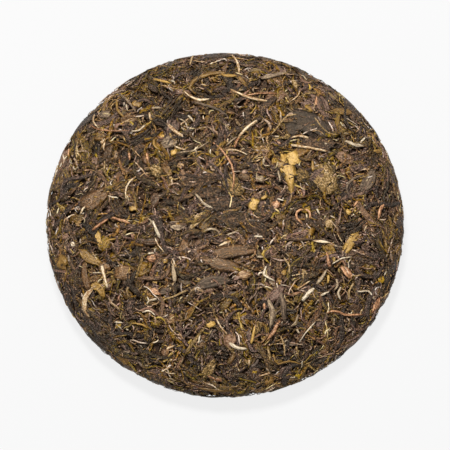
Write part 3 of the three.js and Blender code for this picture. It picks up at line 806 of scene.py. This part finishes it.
# The leaves that stand out in the photograph, listed one by one:
# pile, models, width in pixels, tone, and the pixels they run through.
SEEN = {
    # Upper left
    "olive arc": (yellow_leaves, strip_models, 5, 0.2,
                  [(229, 74), (214, 74), (196, 80), (188, 88), (196, 95)]),
    "pale stem under the arc": (stems, strip_models, 3, 0.65, [(183, 90), (190, 97), (201, 101), (211, 99)]),
    "dark strand": (grey_leaves, twist_models, 3, 0.35, [(191, 102), (210, 107), (222, 112), (229, 118)]),
    "tan stub": (buds, stem_models, 2.8, 0.45, [(152, 109), (161, 108.5)]),
    "tan upright bit": (stems, stem_models, 3, 0.65, [(149.5, 113), (151, 121)]),
    "bright tan strand": (buds, stem_models, 2.6, 0.5, [(131, 132), (139, 131), (146, 125)]),
    "tan wedge": (stems, bud_models, 5.5, 0.6, [(167, 124), (174, 131), (184, 138)]),
    "grey leaf by the wedge": (grey_leaves, blade_models, 12, 0.65, [(161, 146), (170, 142), (178, 137)]),
    "olive curve by the grey leaf": (yellow_leaves, strip_models, 3, 0.4,
                                     [(154, 138), (155, 147), (161, 151)]),
    "pale hook": (buds, bud_models, 2, 0.6, [(179, 119), (185, 122.5), (188, 130)]),
    "cream stub": (buds, bud_models, 3, 0.6, [(188, 116), (193.5, 122)]),
    "tan strand": (stems, stem_models, 2, 0.6, [(174, 146), (181, 149.5), (187, 150.5)]),
    "long thin strand": (grey_leaves, stem_models, 1.8, 0.65,
                         [(177, 153), (191, 151.5), (203, 146), (210, 141)]),
    "olive bit": (yellow_leaves, scrap_models, 5, 0.8, [(172, 156), (176, 149)]),
    "orange-brown stem": (russet_stems, stem_models, 2.8, 0.7,
                          [(213, 143), (221, 149), (228, 159), (233, 169), (234.5, 180), (231, 193)]),
    "branch of the orange-brown stem": (stems, stem_models, 2.2, 0.6,
                                        [(224, 150.5), (236, 150.5), (247, 155)]),
    "brown broad leaf": (blades, patch_models, 17, 0.5, [(84, 209), (95, 200), (107, 191)]),
    "tip of the brown leaf": (stems, stem_models, 2.6, 0.85, [(81, 214), (85, 207)]),
    "forked tan stem": (stems, stem_models, 2, 0.7, [(137, 176), (130, 182), (126, 190), (126.5, 202)]),
    "yellow bit": (yellow_leaves, scrap_models, 5, 0.6, [(129, 209), (138, 209)]),
    "curled olive knot": (olive_strips, blade_models, 11, 0.6, [(151, 167), (156, 172), (159, 178)]),
    "orange bit left": (russet_stems, bud_models, 3.5, 0.75, [(129, 153), (130, 161)]),
    "orange bit right": (russet_stems, bud_models, 4, 0.7, [(147, 153), (147.5, 162)]),
    "tan triangle": (stems, point_models, 5, 0.55, [(103, 140), (104.5, 151)]),
    "long brown line": (russet_stems, stem_models, 2, 0.55, [(90, 125), (98, 130), (115, 131.5), (132, 131)]),
    "orange-tan hook": (stems, stem_models, 2, 0.6, [(95, 115), (94, 122), (99.5, 129)]),
    "grey strand": (grey_leaves, stem_models, 2.8, 0.6, [(118, 93), (130, 104), (136, 112)]),
    "yellow leaf by the strand": (yellow_leaves, scrap_models, 6, 0.35, [(132, 103), (141, 107)]),
    "olive loop": (yellow_leaves, strip_models, 3, 0.4, [(117, 100), (118.5, 112), (125, 118)]),
    "white bit": (buds, bud_models, 2, 0.6, [(126.5, 105), (128, 112)]),
    "grey knot": (grey_leaves, scrap_models, 9, 0.5, [(101, 113), (110, 117)]),
    "golden strand near the top": (olive_strips, stem_models, 1.8, 0.5, [(155, 67), (171, 68), (186, 68.5)]),
    "golden stub near the top": (olive_strips, stem_models, 2.6, 0.9, [(194, 56), (190, 66)]),
    "pale olive curl": (yellow_leaves, strip_models, 3, 0.7, [(151, 79), (161, 81.5), (171, 84)]),
    "dark folded leaf": (dark_twists, twist_models, 8, 0.4, [(148, 85), (158, 93)]),
    "rusty bit at the rim": (russet_stems, bud_models, 3, 0.8, [(70, 149), (69, 157)]),
    "golden curve at the rim": (olive_strips, stem_models, 1.8, 0.7, [(79, 140), (77, 150), (77.5, 160)]),
    "olive leaf at the rim": (yellow_leaves, blade_models, 4.5, 0.2, [(63.5, 164), (58, 174)]),
    "reddish stem": (russet_stems, stem_models, 3.4, 0.5, [(91, 232), (100, 225), (108, 219)]),
    "second reddish stem": (russet_stems, stem_models, 3.4, 0.75, [(112, 218), (121, 220.5), (130, 223.5)]),
    # Middle
    "cream stem": (buds, stem_models, 3.4, 0.7, [(153, 221), (156, 229), (160, 238)]),
    "thread below the cream stem": (stems, stem_models, 1.5, 0.7, [(155, 238), (158, 245), (164, 252)]),
    "cream strand": (buds, bud_models, 3, 0.6, [(192.5, 191.5), (199, 197.5), (204, 204), (215, 209)]),
    "tan curled leaf": (olive_strips, blade_models, 7, 0.9, [(190, 228), (196, 222), (202, 216), (208, 215)]),
    "pale curl": (buds, bud_models, 3, 0.5, [(205, 231), (211, 229), (216, 230), (222, 236)]),
    "second pale curl": (buds, bud_models, 2.4, 0.3, [(226, 235), (233, 233), (239, 230)]),
    "pale green leaf": (grey_leaves, blade_models, 6, 0.7, [(170, 226), (178, 228), (185, 226)]),
    "tan lines": (stems, strip_models, 3, 0.6, [(219, 246), (226, 243), (233, 240.5)]),
    "pressed leaf in the middle": (dark_twists, patch_models, 15, 0.45, [(204, 206), (222, 204), (242, 203)]),
    "second pressed leaf": (dark_twists, patch_models, 14, 0.45, [(216, 221), (232, 218), (250, 217)]),
    "third pressed leaf": (dark_twists, blade_models, 11, 0.5, [(178, 183), (198, 181), (222, 177)]),
    "fourth pressed leaf": (dark_twists, blade_models, 12, 0.5, [(196, 196), (208, 193), (226, 193)]),
    "fifth pressed leaf": (dark_twists, blade_models, 12, 0.45, [(240, 226), (254, 228), (268, 236)]),
    "pressed leaf below the middle": (blades, patch_models, 13, 0.45, [(214, 256), (232, 252), (256, 250)]),
    "second one below the middle": (blades, patch_models, 12, 0.45, [(200, 262), (220, 264), (240, 268)]),
    "brown veined leaf": (olive_strips, patch_models, 15, 0.4, [(226, 176), (232, 186), (243, 194)]),
    # Upper right
    "tan curved stem": (stems, stem_models, 3, 0.6, [(232, 56), (238, 65), (239, 75)]),
    "olive bar": (yellow_leaves, strip_models, 4, 0.55, [(220, 73.5), (225, 76.5), (237, 76.5)]),
    "grey-olive leaf": (grey_leaves, strip_models, 5.5, 0.7, [(261, 79), (272, 77), (285, 72.5)]),
    "forked tan-orange stem": (stems, stem_models, 3.4, 0.55,
                               [(230, 90), (244, 96.5), (256, 100), (273, 103)]),
    "its fork": (russet_stems, stem_models, 2.2, 0.6, [(244, 96.5), (259, 94), (277, 94.5)]),
    "olive-brown stem": (olive_strips, stem_models, 3.2, 0.5, [(300, 97), (307, 94.5), (317, 93.5)]),
    "pale curve": (stems, stem_models, 1.8, 0.55, [(300.5, 89.5), (297.5, 97), (290, 102)]),
    "tan tuft": (olive_strips, strip_models, 5, 0.9, [(292, 80), (297, 89)]),
    "orange stub": (russet_stems, stem_models, 3, 0.8, [(316, 97), (315.5, 106)]),
    "olive leaf near the rim": (yellow_leaves, blade_models, 7, 0.15, [(333, 110), (344, 112), (355, 113)]),
    "golden bits": (yellow_leaves, scrap_models, 4, 0.5, [(305, 106), (312, 112)]),
    "yellow-tan stem": (stems, stem_models, 3.6, 0.75, [(257, 121), (244, 131), (238, 139)]),
    "orange end of the stem": (russet_stems, stem_models, 3.2, 0.7, [(239, 138), (236, 143), (234.5, 148)]),
    "pale grey strand": (grey_leaves, stem_models, 2, 0.6, [(237, 137), (226, 146)]),
    "large dark leaf": (grey_leaves, patch_models, 19, 0.0, [(287, 124), (300, 122), (314, 124), (328, 133)]),
    "rounded dark leaf": (grey_leaves, blade_models, 12, 0.05, [(284, 131), (291, 130), (299, 131)]),
    "lower dark leaf": (dark_twists, blade_models, 15, 0.6, [(300, 142), (320, 145), (340, 146)]),
    "pale line over the dark leaf": (olive_strips, stem_models, 2, 0.85,
                                     [(299, 114.5), (285, 118), (279, 126), (271, 135)]),
    "line beside the dark leaf": (olive_strips, stem_models, 1.8, 0.7,
                                  [(314.5, 118), (322, 128.5), (329, 134.5), (338, 135)]),
    "knot": (olive_strips, scrap_models, 6, 0.7, [(284, 136), (290, 139)]),
    "bright orange-tan stem": (stems, stem_models, 3, 0.65, [(291, 138), (299, 136.5), (309.5, 139)]),
    "bright tan stem": (stems, stem_models, 3.2, 0.7, [(291, 145.5), (307, 148), (330, 152.5)]),
    "yellow broad leaf": (yellow_leaves, scrap_models, 14, 0.85, [(286, 156), (293, 159), (300, 163)]),
    "pointed yellow leaf": (yellow_leaves, point_models, 14, 0.75,
                            [(283, 160), (287, 170), (289.5, 181), (291.5, 194)]),
    "olive end of the yellow leaf": (yellow_leaves, scrap_models, 7, 0.35, [(276, 163), (286, 167)]),
    "pale bit": (buds, bud_models, 3.2, 0.5, [(264.5, 158), (263, 165)]),
    "silver strand": (buds, stem_models, 2.6, 0.5, [(278, 171), (280, 182)]),
    "pale folded bit": (buds, scrap_models, 7, 0.2, [(256, 177), (264, 180)]),
    "olive-brown broad leaf": (olive_strips, patch_models, 24, 0.6, [(315, 168), (325, 180), (334, 192)]),
    "yellow vein": (yellow_leaves, strip_models, 3.5, 0.5, [(312, 161), (313, 172)]),
    "brown broad leaf beside it": (olive_strips, patch_models, 13, 0.3, [(297, 170), (308, 180)]),
    "pale twisted tips": (buds, bud_models, 4.5, 0.6, [(345, 141.5), (354, 145.5), (364, 147)]),
    "its second tip": (buds, bud_models, 2.6, 0.65, [(364.5, 138), (359, 144)]),
    "curved grey stem": (grey_leaves, stem_models, 2.8, 0.45,
                         [(364, 176), (352, 179.5), (346, 189), (352, 202)]),
    "grey broad leaf": (grey_leaves, blade_models, 10, 0.4, [(374, 170), (367, 182), (359, 193)]),
    "strand along the rim": (olive_strips, stem_models, 1.8, 0.7, [(384.5, 150), (387, 161), (393.5, 171)]),
    "yellow bit near the rim": (yellow_leaves, scrap_models, 5, 0.35, [(373, 151), (381, 152.5)]),
    "curled ring": (olive_strips, stem_models, 2.4, 0.5,
                    [(366, 134), (369, 130), (374, 132), (373, 137), (368, 137)]),
    "yellow triangle": (yellow_leaves, scrap_models, 9, 0.85, [(249, 208), (254, 204), (257, 199)]),
    "small yellow bit": (yellow_leaves, scrap_models, 3.5, 0.7, [(261, 199), (267, 196)]),
    "pale line": (buds, bud_models, 2, 0.8, [(277, 199), (284, 201)]),
    "orange bit": (russet_stems, scrap_models, 8, 0.65, [(272, 205), (280, 205)]),
    "orange ring, left": (russet_stems, stem_models, 2.8, 0.9,
                          [(303, 209), (297, 212), (296, 217), (302, 224)]),
    "orange ring, right": (russet_stems, stem_models, 2.8, 1.0, [(303, 209), (309, 212), (310, 219)]),
    "bright yellow bit": (yellow_leaves, scrap_models, 5.5, 0.8, [(345, 213), (351, 211.5)]),
    "cream bit": (buds, bud_models, 2.4, 0.65, [(316.5, 209), (319.5, 215)]),
    "orange-brown strip": (russet_stems, strip_models, 4.4, 0.7, [(384.5, 203), (380, 210), (378, 220)]),
    "pinkish stub": (russet_stems, stem_models, 2.6, 1.0, [(357.5, 201.5), (353.5, 206.5)]),
    "tan folded leaf": (olive_strips, scrap_models, 8, 0.8, [(325, 221), (333, 227)]),
    # Lower left
    "olive-yellow leaf at the rim": (yellow_leaves, blade_models, 14, 0.3, [(56, 256), (62, 262), (66, 269)]),
    "olive leaf": (yellow_leaves, blade_models, 8, 0.3, [(81, 249), (88, 257), (100, 264)]),
    "pale olive leaf": (yellow_leaves, point_models, 6, 0.7, [(98, 232), (99, 240), (101, 248)]),
    "yellow hook": (yellow_leaves, stem_models, 2.2, 0.5, [(116, 239), (107, 241.5), (103.5, 250)]),
    "white knot": (buds, scrap_models, 4, 0.6, [(71, 243), (76, 246)]),
    "bright orange stem": (stems, stem_models, 3.8, 0.85, [(102, 266), (105, 278), (108, 288)]),
    "pale strand beside it": (buds, bud_models, 2, 0.5, [(93, 273), (102, 273)]),
    "bright yellow leaf": (yellow_leaves, point_models, 8, 0.5, [(92, 284), (99, 287), (103, 296)]),
    "tan curled strip": (stems, strip_models, 6, 0.55, [(93, 289), (86, 297), (85, 308), (90, 317)]),
    "brown strip": (blades, strip_models, 8, 0.55, [(84, 262), (86, 278), (90, 291)]),
    "flat dark olive leaf": (blades, blade_models, 15, 0.65, [(114, 274), (124, 273), (134, 272)]),
    "olive-brown strip": (olive_strips, strip_models, 4.4, 0.4, [(143, 255), (139.5, 268), (135, 281)]),
    "cream bit on the left": (buds, bud_models, 3, 0.6, [(148, 254), (154.5, 253.5)]),
    "rust spot": (russet_stems, scrap_models, 8.5, 0.45, [(147, 258), (156, 259)]),
    "grey-green strand": (grey_leaves, strip_models, 4.6, 1.0, [(173, 263), (174, 273), (175, 283)]),
    "pale yellow bit": (yellow_leaves, scrap_models, 5, 0.7, [(162, 261), (168, 261)]),
    "pink-orange bit": (russet_stems, scrap_models, 5.5, 0.7, [(149, 289.5), (155, 292), (160.5, 295)]),
    "blue-grey leaf": (grey_leaves, blade_models, 10, 0.2, [(194, 288), (210, 283), (230, 280)]),
    "small blue-grey leaf": (grey_leaves, blade_models, 6, 0.25, [(160, 292), (171, 290)]),
    "cream stub on the left": (buds, stem_models, 2.6, 0.6, [(148, 301), (157, 299)]),
    "golden-brown stem": (olive_strips, stem_models, 2.6, 0.8, [(187, 290.5), (173, 297), (161, 300.5)]),
    "pale hook on the left": (buds, bud_models, 2.2, 0.7, [(142.5, 312.5), (149, 311), (156, 316)]),
    "yellow thread": (yellow_leaves, stem_models, 2, 0.7, [(132, 323), (140.5, 324), (148, 328)]),
    "pale bit on the left": (buds, bud_models, 2.2, 0.6, [(115, 322), (123, 322.5)]),
    "thin pinkish stem": (stems, stem_models, 2, 0.5, [(215.5, 317.5), (220.5, 326.5), (228, 335.5)]),
    "yellow point": (yellow_leaves, scrap_models, 5.5, 0.95, [(207, 326), (215, 322.5)]),
    "leafy olive stem": (olive_strips, strip_models, 4, 0.5, [(207, 325), (195, 340), (184, 356)]),
    "tan stub below": (buds, bud_models, 2.4, 0.85, [(200, 333), (198.5, 344)]),
    "orange-tan hook below": (stems, strip_models, 3, 0.45, [(167, 356), (168.5, 348), (175, 345.5)]),
    "tan bit below": (stems, bud_models, 3, 0.4, [(179, 333), (183.5, 340)]),
    "olive leaf near the lower rim": (olive_strips, blade_models, 9, 0.45,
                                      [(203, 375), (208, 369), (215, 362)]),
    "rusty strand at the rim": (russet_stems, strip_models, 3.2, 0.5, [(207, 375), (215, 378), (225, 380.5)]),
    "tan bit at the rim": (stems, stem_models, 2.2, 0.7, [(162, 371), (171, 366)]),
    "olive leaf at the lower rim": (yellow_leaves, blade_models, 7, 0.05,
                                    [(115, 352), (122, 357), (130, 365)]),
    "golden underside": (yellow_leaves, strip_models, 3.4, 0.0, [(198, 387), (214, 389.5), (232, 389.5)]),
    "golden strand at the rim": (yellow_leaves, strip_models, 2.6, 0.0,
                                 [(218, 386), (229, 386.5), (241, 385)]),
    # Lower right
    "golden folded leaf": (yellow_leaves, point_models, 9, 0.65, [(358, 233), (351, 243), (341, 255)]),
    "cream edge": (buds, stem_models, 1.8, 0.7, [(332, 264), (341, 259), (352, 257)]),
    "orange strip": (russet_stems, blade_models, 6, 0.7, [(341, 266), (346, 272), (351, 279)]),
    "tail of the orange strip": (olive_strips, stem_models, 2, 0.8, [(350, 276), (357, 276), (363, 274)]),
    "pale bud pair": (buds, bud_models, 4.4, 0.35, [(316.5, 284.5), (323, 276), (327, 269)]),
    "yellow-green bit": (yellow_leaves, bud_models, 3, 0.85, [(328, 275), (327.5, 284)]),
    "white stub": (buds, bud_models, 3, 0.65, [(320, 296), (329.5, 291.5)]),
    "grey-olive stub": (buds, stem_models, 5.2, 0.75, [(302, 300.5), (308, 294), (314, 288.5)]),
    "pale crescent": (buds, bud_models, 3.4, 0.5, [(340.5, 287), (337.5, 294), (340.5, 300.5)]),
    "pale strip": (grey_leaves, strip_models, 2.6, 0.75, [(336, 279), (337, 286), (334, 290.5)]),
    "golden strand": (olive_strips, stem_models, 2.2, 0.9, [(353, 283.5), (348.5, 292), (348, 300.5)]),
    "wavy bud": (buds, stem_models, 2.4, 0.65,
                 [(357, 291), (362, 291.5), (366, 290), (370, 293.5), (374, 300)]),
    "orange patch at the rim": (russet_stems, scrap_models, 6, 0.55, [(379, 297), (376, 304), (372, 312.5)]),
    "grey-brown long leaf": (brown_twists, twist_models, 8, 0.5,
                             [(320, 292), (319.5, 311), (307, 327), (295, 344)]),
    "pale edge of the long leaf": (buds, stem_models, 2.2, 0.85,
                                   [(319, 315), (312, 325), (304, 334), (299, 342)]),
    "wavy orange-brown stem": (russet_stems, stem_models, 3, 0.65,
                               [(326, 313), (335, 310.5), (343.5, 314.5), (362, 314)]),
    "pale olive leaf with a tip": (grey_leaves, strip_models, 6, 0.75,
                                   [(268, 299.5), (272, 312), (270, 328)]),
    "its pink tip": (russet_stems, bud_models, 4, 0.75, [(264, 303), (264.5, 310)]),
    "grey-brown leaf": (grey_leaves, strip_models, 6.5, 0.4, [(280, 289), (283, 306), (284.5, 323)]),
    "cream hook": (buds, bud_models, 3.2, 0.75, [(266, 266.5), (263.5, 275.5), (268.5, 278.5), (275, 281)]),
    "small yellow leaf": (yellow_leaves, scrap_models, 5.5, 0.55, [(281, 273.5), (286.5, 272)]),
    "golden arc": (olive_strips, stem_models, 2.2, 0.85, [(284, 258), (289, 266), (289, 276)]),
    "golden fork": (olive_strips, stem_models, 2, 0.9, [(302.5, 269), (303.5, 281)]),
    "second golden fork": (olive_strips, stem_models, 2, 0.85, [(303, 269), (310, 279)]),
    "golden-orange strand": (stems, stem_models, 2, 0.45, [(297, 289.5), (310, 281)]),
    "yellow stem": (yellow_leaves, stem_models, 3.2, 0.95, [(255, 326), (253, 335), (251, 344)]),
    "olive-brown leaf above it": (olive_strips, blade_models, 7, 0.4, [(259.5, 320), (255, 334)]),
    "white bud": (buds, bud_models, 4.4, 0.75, [(228.5, 342.5), (235.5, 347.5), (247.5, 349)]),
    "pinkish leaf": (russet_stems, strip_models, 4.4, 0.7, [(280, 321), (273.5, 331), (267, 340)]),
    "pale curl on the right": (buds, bud_models, 3, 0.3, [(297.5, 315), (295, 323), (290, 327)]),
    "tan bit on the right": (buds, bud_models, 3, 0.5, [(296, 328.5), (299, 334)]),
    "golden strand below": (olive_strips, stem_models, 2.2, 0.7, [(280.5, 336), (284, 346), (284, 356)]),
    "second golden strand below": (olive_strips, stem_models, 2.2, 0.8, [(296, 346), (298, 357.5)]),
    "olive strand below": (olive_strips, strip_models, 3, 0.6, [(268, 346), (270, 363)]),
    "golden loop below": (yellow_leaves, stem_models, 2.6, 0.3,
                          [(273, 354), (277, 364), (288, 360.5), (300, 363.5)]),
    "orange-tan stub": (stems, bud_models, 2.8, 0.5, [(248.5, 359), (249, 366)]),
    "pale strand near the rim": (stems, stem_models, 2.2, 0.45, [(259, 375.5), (271, 372)]),
    "reddish-brown strip": (russet_stems, strip_models, 4, 0.5, [(326.5, 252), (328, 260), (329.5, 269)]),
    "cream bits in the middle": (buds, bud_models, 2.6, 0.75, [(254, 236.5), (263, 237)]),
    "cream bit in the middle": (buds, bud_models, 3, 0.6, [(257, 257), (264, 257.5)]),
    "golden-brown leaf": (stems, scrap_models, 9, 0.25, [(236, 276), (244, 275), (251, 273)]),
    "long dark stem": (dark_twists, stem_models, 2.6, 0.5, [(278, 240.5), (305, 240), (336, 241)]),
    "pinkish part of it": (stems, strip_models, 3, 0.85, [(310.5, 239.5), (320, 242), (330, 243)]),
}

# Twists that have come apart into strands: pile, width in pixels, strands, tone, pixels.
BUNDLES = {
    "dark diagonal, top": (dark_twists, 12, 6, 0.35, [(208, 62), (196, 76), (184, 92)]),
    "dark diagonal, middle": (dark_twists, 14, 7, 0.35, [(186, 88), (174, 106), (158, 128)]),
    "dark diagonal, end": (dark_twists, 12, 6, 0.3, [(160, 126), (144, 138), (122, 150)]),
    "dark rim leaves on the left": (dark_twists, 12, 6, 0.35, [(82, 262), (77, 282), (81, 302)]),
    "dark leaves at the lower left rim": (dark_twists, 12, 6, 0.3, [(86, 324), (100, 341), (117, 355)]),
    "dark twist in the lower right": (dark_twists, 11, 5, 0.55, [(298, 274), (305, 257), (321, 244)]),
    "brown twist beside it": (brown_twists, 8, 4, 0.4, [(309, 279), (316, 262), (321, 250)]),
    "long dark leaf on the right": (dark_twists, 9, 4, 0.35, [(373, 226), (378, 246), (391, 275)]),
    "dark arrow leaf": (dark_twists, 7, 4, 0.6, [(338, 263), (362, 260), (384, 264)]),
    "dark twist below": (dark_twists, 13, 5, 0.25, [(306, 362), (316, 356), (327, 349)]),
    "dark leaves in the lower middle": (dark_twists, 11, 5, 0.25, [(205, 353), (217, 351), (232, 355)]),
    "dark leaves above the ring": (dark_twists, 14, 6, 0.3, [(284, 222), (296, 206), (312, 199)]),
    "dark leaves on the right": (dark_twists, 13, 6, 0.3, [(336, 231), (354, 226), (370, 214)]),
    "grey strands, left of the middle": (dark_twists, 12, 6, 0.5, [(112, 196), (120, 212), (136, 224)]),
}

seen_draw = np.random.default_rng(41)
for pile, models, width, tone, pixels in SEEN.values():
    broad = any(models is kind for kind in (blade_models, patch_models, point_models, scrap_models))
    model = models[seen_draw.integers(len(models))]
    thick = BROAD_THICKNESS if broad else np.clip(STRAND_ROUNDNESS * width * MM_PER_PIXEL, *STRAND_THICKNESS)
    lift = PATCH_LIFT if models is patch_models else BLADE_LIFT if broad else STRAND_LIFT
    lay_seen(pile, seen_draw, model, pixels, width, tone, 1.0, lift, thick)
for pile, width, strands, tone, pixels in BUNDLES.values():
    lay_bundle(pile, seen_draw, twist_models, pixels, width, strands, tone, 0.85, BUNDLE_LIFT)

for pile in (dark_twists, brown_twists, olive_strips, stems, buds, blades,
             yellow_leaves, russet_stems, grey_leaves, shreds):
    pile.build()
crumbs.build(smooth=False)


# Floor and light

def make_floor():
    shape = bmesh.new()
    bmesh.ops.create_grid(shape, x_segments=1, y_segments=1, size=3.0)
    mesh = bpy.data.meshes.new("floor")
    shape.to_mesh(mesh)
    shape.free()
    floor = bpy.data.objects.new("floor", mesh)
    bpy.context.scene.collection.objects.link(floor)
    # A white acrylic table, lit from below as product tables are, so that its shadows stay pale.
    paint, _, surface = new_material("lit_white_acrylic", 0.9, Specular_IOR_Level=0.0)
    surface.inputs["Base Color"].default_value = linear("#484848")
    surface.inputs["Emission Color"].default_value = linear("#ffffff")
    surface.inputs["Emission Strength"].default_value = 0.82
    mesh.materials.append(paint)


def add_light(name, direction, distance, size, power):
    """A square soft box that faces the cake."""
    data = bpy.data.lights.new(name, "AREA")
    data.size = size
    data.energy = power
    light = bpy.data.objects.new(name, data)
    towards = Vector(direction).normalized()
    light.location = towards * distance
    light.rotation_euler = towards.to_track_quat("Z", "Y").to_euler()
    bpy.context.scene.collection.objects.link(light)


def make_light():
    world = bpy.data.worlds.new("studio")
    world.use_nodes = True
    world.node_tree.nodes["Background"].inputs["Color"].default_value = linear("#ffffff")
    world.node_tree.nodes["Background"].inputs["Strength"].default_value = 0.45
    bpy.context.scene.world = world
    bpy.context.scene.view_settings.view_transform = "Standard"
    add_light("soft_box", (-0.1, 0.42, 1.0), 1.3, 0.3, 29.5)


make_floor()
make_light()
